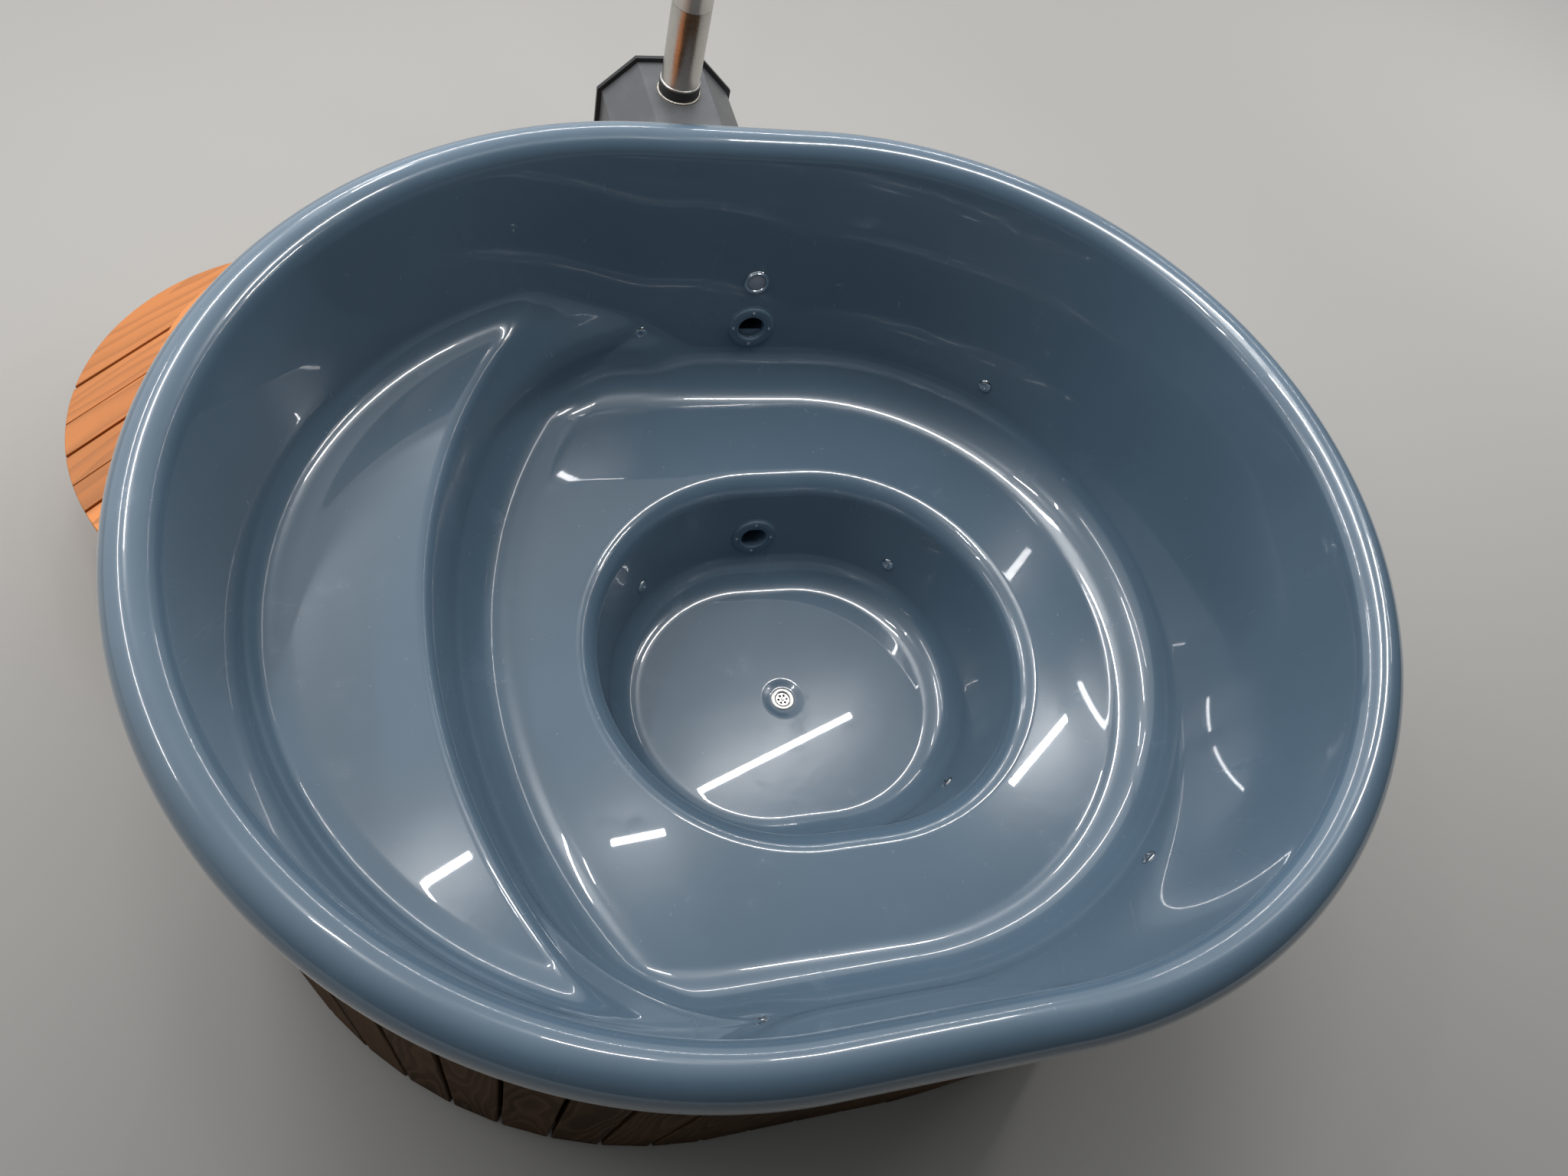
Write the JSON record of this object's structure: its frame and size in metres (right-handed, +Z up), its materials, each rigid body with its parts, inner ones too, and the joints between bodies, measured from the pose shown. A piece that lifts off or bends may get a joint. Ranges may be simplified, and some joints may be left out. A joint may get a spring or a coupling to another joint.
{
  "type": "oval wooden hot tub",
  "caption": "Oval hot tub with a glossy moulded liner, dark upright boards, a wood-burning heater with a steel chimney and a two-tier wooden step.",
  "frame": {"origin": "On the floor, below the middle of the oval tub, at the foot of its middle bearer.", "axes": "+X along the oval's length, away from the bench; +Y across it, to the heater; +Z up."},
  "size_m": [2.6576, 2.8837, 1.94],
  "materials": {
    "gelcoat": "very glossy moulded liner, blue-grey with fine metallic depth",
    "dark_board": "dark brown stained softwood boards with grain and knots",
    "frame_timber": "sawn softwood frame timber",
    "step_plank": "red-orange oiled softwood, matt",
    "stainless": "brushed stainless steel",
    "chrome_trim": "polished chrome",
    "port_plastic": "glossy blue-grey moulded plastic to match the liner",
    "dark_fitting": "dark moulded fitting plastic",
    "lamp_glass": "slightly frosted lamp glass",
    "heater_steel": "dark grey heat-proof paint, satin",
    "black_steel": "black heat-proof paint, satin",
    "cast_grate": "rough cast iron",
    "weld_bead": "bare weld bead, slightly heat-tinted",
    "hose_rubber": "black rubber hose",
    "rope_seal": "woven glass rope",
    "valve_brass": "plain brass"
  },
  "bodies": {
    "tub": {"liner": "gelcoat", "cladding_right_end": "dark_board", "cladding_left_end": "dark_board", "cladding_front": "dark_board", "cladding_back": "dark_board", "upper_ring": "frame_timber", "lower_ring": "frame_timber", "studs": "frame_timber", "base_bearers": "frame_timber", "seat_props": "frame_timber", "upper_port_flange": "port_plastic", "lower_port_flange": "port_plastic", "port_screws": "chrome_trim", "port_nuts": "dark_fitting", "lamp_bezel": "chrome_trim", "lamp_lens": "lamp_glass", "lamp_body": "dark_fitting", "lamp_nut": "dark_fitting", "nozzle_caps": "chrome_trim", "nozzle_bodies": "dark_fitting", "drain_flange": "stainless", "drain_strainer": "stainless", "drain_screw": "stainless", "drain_tail": "dark_fitting", "drain_pipe": "dark_fitting", "valve_body": "valve_brass", "heater_shell": "heater_steel", "heater_tub_plate": "black_steel", "heater_spigots": "stainless", "heater_front_plate": "black_steel", "firebox": "heater_steel", "firebox_grate": "cast_grate", "flue_collar": "black_steel", "flue_weld": "weld_bead", "lower_flue": "stainless", "upper_flue": "stainless", "rain_cap": "stainless", "heater_leg_tub_end": "black_steel", "heater_leg_door_end": "black_steel", "door_catch": "black_steel", "hinge_lugs": "black_steel", "hinge_pins": "stainless", "upper_hose": "hose_rubber", "lower_hose": "hose_rubber", "hose_clamps": "stainless", "lower_tread": "step_plank", "upper_tread": "step_plank", "lower_slats": "step_plank", "upper_slats": "step_plank", "step_formers": "frame_timber"},
    "fire_door": {"fire_door": "black_steel", "door_rails": "black_steel", "door_seal": "rope_seal"},
    "door_latch": {"door_latch": "black_steel"},
    "air_slide": {"air_slide": "stainless"},
    "valve_handle": {"valve_ball": "chrome_trim", "valve_lever": "black_steel"}
  },
  "joints": [
    {"name": "fire_door_hinge", "type": "hinge", "parent": "tub", "child": "fire_door", "pos_m": [-0.10274, 1.85376, 0.368], "axis": [0, 0, 1], "range_deg": [0, 115]},
    {"name": "door_latch_turn", "type": "hinge", "parent": "fire_door", "child": "door_latch", "pos_m": [0.14737, 1.88805, 0.368], "axis": [-0.0767, 0.9971, 0], "range_deg": [0, 90]},
    {"name": "air_slide_shift", "type": "slide", "parent": "fire_door", "child": "air_slide", "axis": [-0.9971, -0.0767, 0], "range_m": [0, 0.026]},
    {"name": "drain_valve_turn", "type": "hinge", "parent": "tub", "child": "valve_handle", "pos_m": [0.128, 1.007, 0.087], "axis": [0, 0, 1], "range_deg": [0, 90]}
  ]
}
